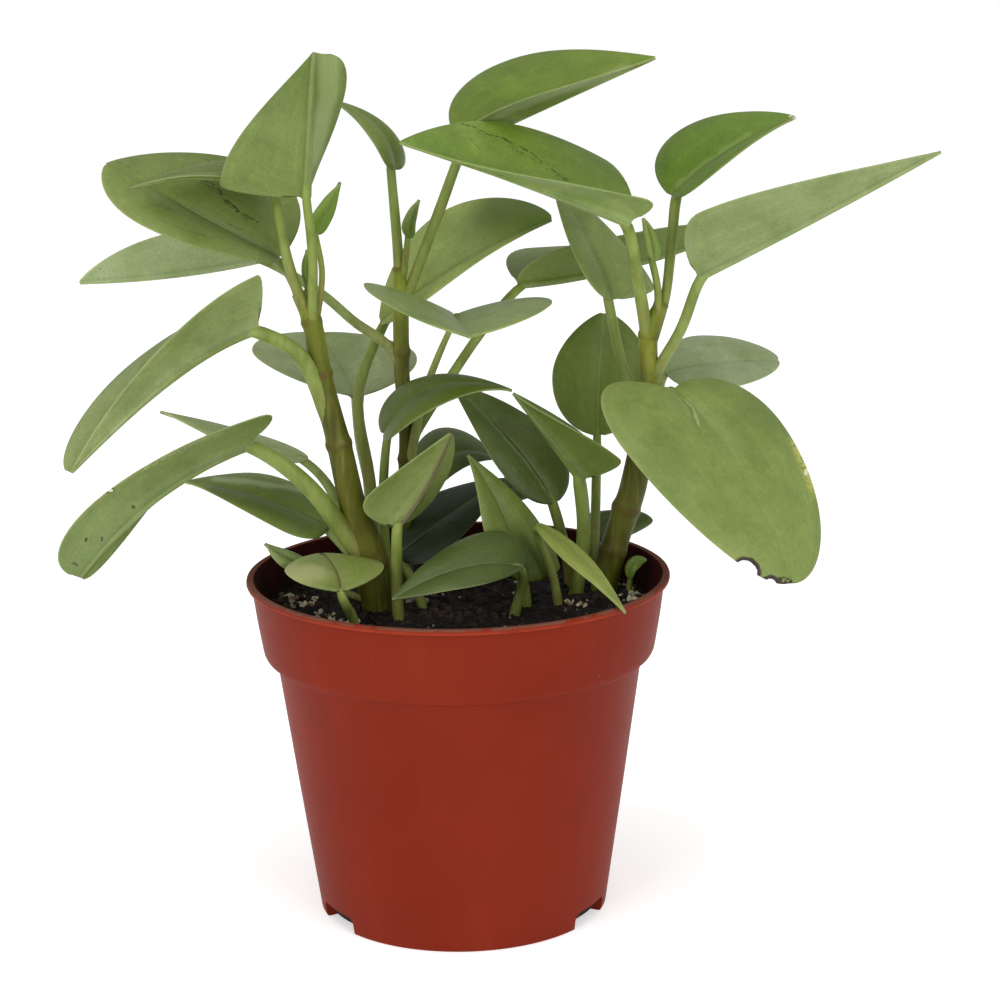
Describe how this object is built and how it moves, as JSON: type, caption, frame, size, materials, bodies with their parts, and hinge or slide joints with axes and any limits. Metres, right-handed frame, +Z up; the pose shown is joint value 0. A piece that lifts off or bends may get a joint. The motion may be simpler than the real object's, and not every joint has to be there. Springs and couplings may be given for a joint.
{
  "type": "potted plant",
  "caption": "Potted peperomia: fleshy heart-shaped leaves folded along the midrib, on jointed stems that rise from dark potting soil in a terracotta-coloured plastic nursery pot.",
  "frame": {"origin": "centre of the underside of the pot's floor, on the pot's axis", "axes": "+Z up along the pot's axis, -Y towards the side the picture shows, +X to the right as seen there"},
  "size_m": [0.2371, 0.131, 0.2443],
  "materials": {
    "pot": "satin moulded polypropylene, terracotta-coloured",
    "soil": "matte crumbly peat and bark",
    "stem": "satin plant skin, reddish-brown at the nodes",
    "leaf": "satin waxy leaf, paler on the underside"
  },
  "bodies": {
    "root": {"leaf_left_top": "leaf", "leaf_left_broad": "leaf", "leaf_left_slim": "leaf", "leaf_left_pale": "leaf", "leaf_left_arching": "leaf", "leaf_left_drooping": "leaf", "leaf_left_hidden": "leaf", "leaf_left_low": "leaf", "leaf_left_sprout": "leaf", "leaf_center_curled": "leaf", "leaf_center_top": "leaf", "leaf_center_back": "leaf", "leaf_center_front": "leaf", "leaf_back_long": "leaf", "leaf_back_round": "leaf", "leaf_right_big": "leaf", "leaf_right_long": "leaf", "leaf_right_top": "leaf", "leaf_right_upright": "leaf", "leaf_right_back_round": "leaf", "leaf_right_back_pale": "leaf", "leaf_right_front": "leaf", "leaf_low_arched": "leaf", "leaf_low_dark": "leaf", "leaf_low_folded": "leaf", "leaf_low_bright": "leaf", "leaf_low_shaded": "leaf", "leaf_low_grey": "leaf", "leaf_low_leaning": "leaf", "leaf_low_front": "leaf", "leaf_low_over_rim": "leaf", "leaf_low_left": "leaf", "leaf_low_behind": "leaf", "leaf_low_back": "leaf", "seedling": "leaf", "stem_left": "stem", "stem_center": "stem", "stem_right": "stem", "pot": "pot", "soil": "soil"}
  },
  "joints": []
}
